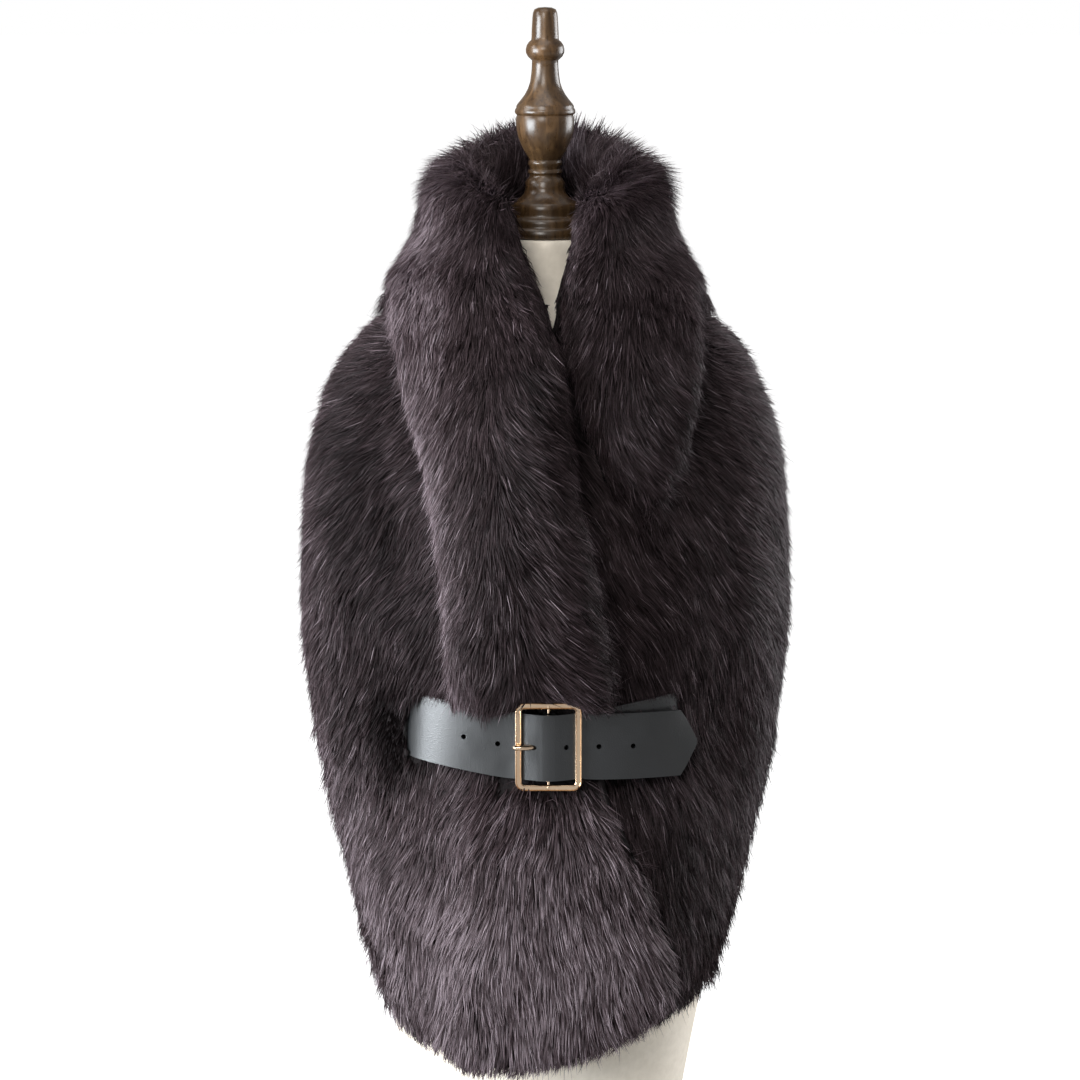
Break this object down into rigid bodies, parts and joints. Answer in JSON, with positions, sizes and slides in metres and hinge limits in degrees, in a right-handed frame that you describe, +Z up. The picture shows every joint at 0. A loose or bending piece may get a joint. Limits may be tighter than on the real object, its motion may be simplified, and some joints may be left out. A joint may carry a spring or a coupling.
{
  "type": "belted fur collar wrap on a limbless dress form",
  "caption": "Long-pile fur wrap with a rolled shawl collar, overlapped in front and held by a wide buckled belt through side slits, worn on a limbless dress form",
  "frame": {"origin": "Middle of the flat underside of the dress form, on the surface that it stands on", "axes": "+Z is up. The front faces -Y, and +X is the wearer's left, which is on the right as seen from in front."},
  "size_m": [0.4508, 0.3464, 1.0275],
  "materials": {
    "fur": "long soft pile, dark aubergine brown",
    "leather": "smooth, matte to satin, black",
    "gold": "polished pale gold",
    "cover": "fine cream linen jersey",
    "wood": "dark brown turned wood, satin varnish"
  },
  "bodies": {
    "root": {"wrap_back": "fur", "wrap_front_right": "fur", "wrap_front_left": "fur", "collar_right": "fur", "collar_left": "fur", "belt_strap": "leather", "buckle_frame": "gold", "buckle_prong": "gold", "form_torso": "cover", "form_finial": "wood"}
  },
  "joints": []
}
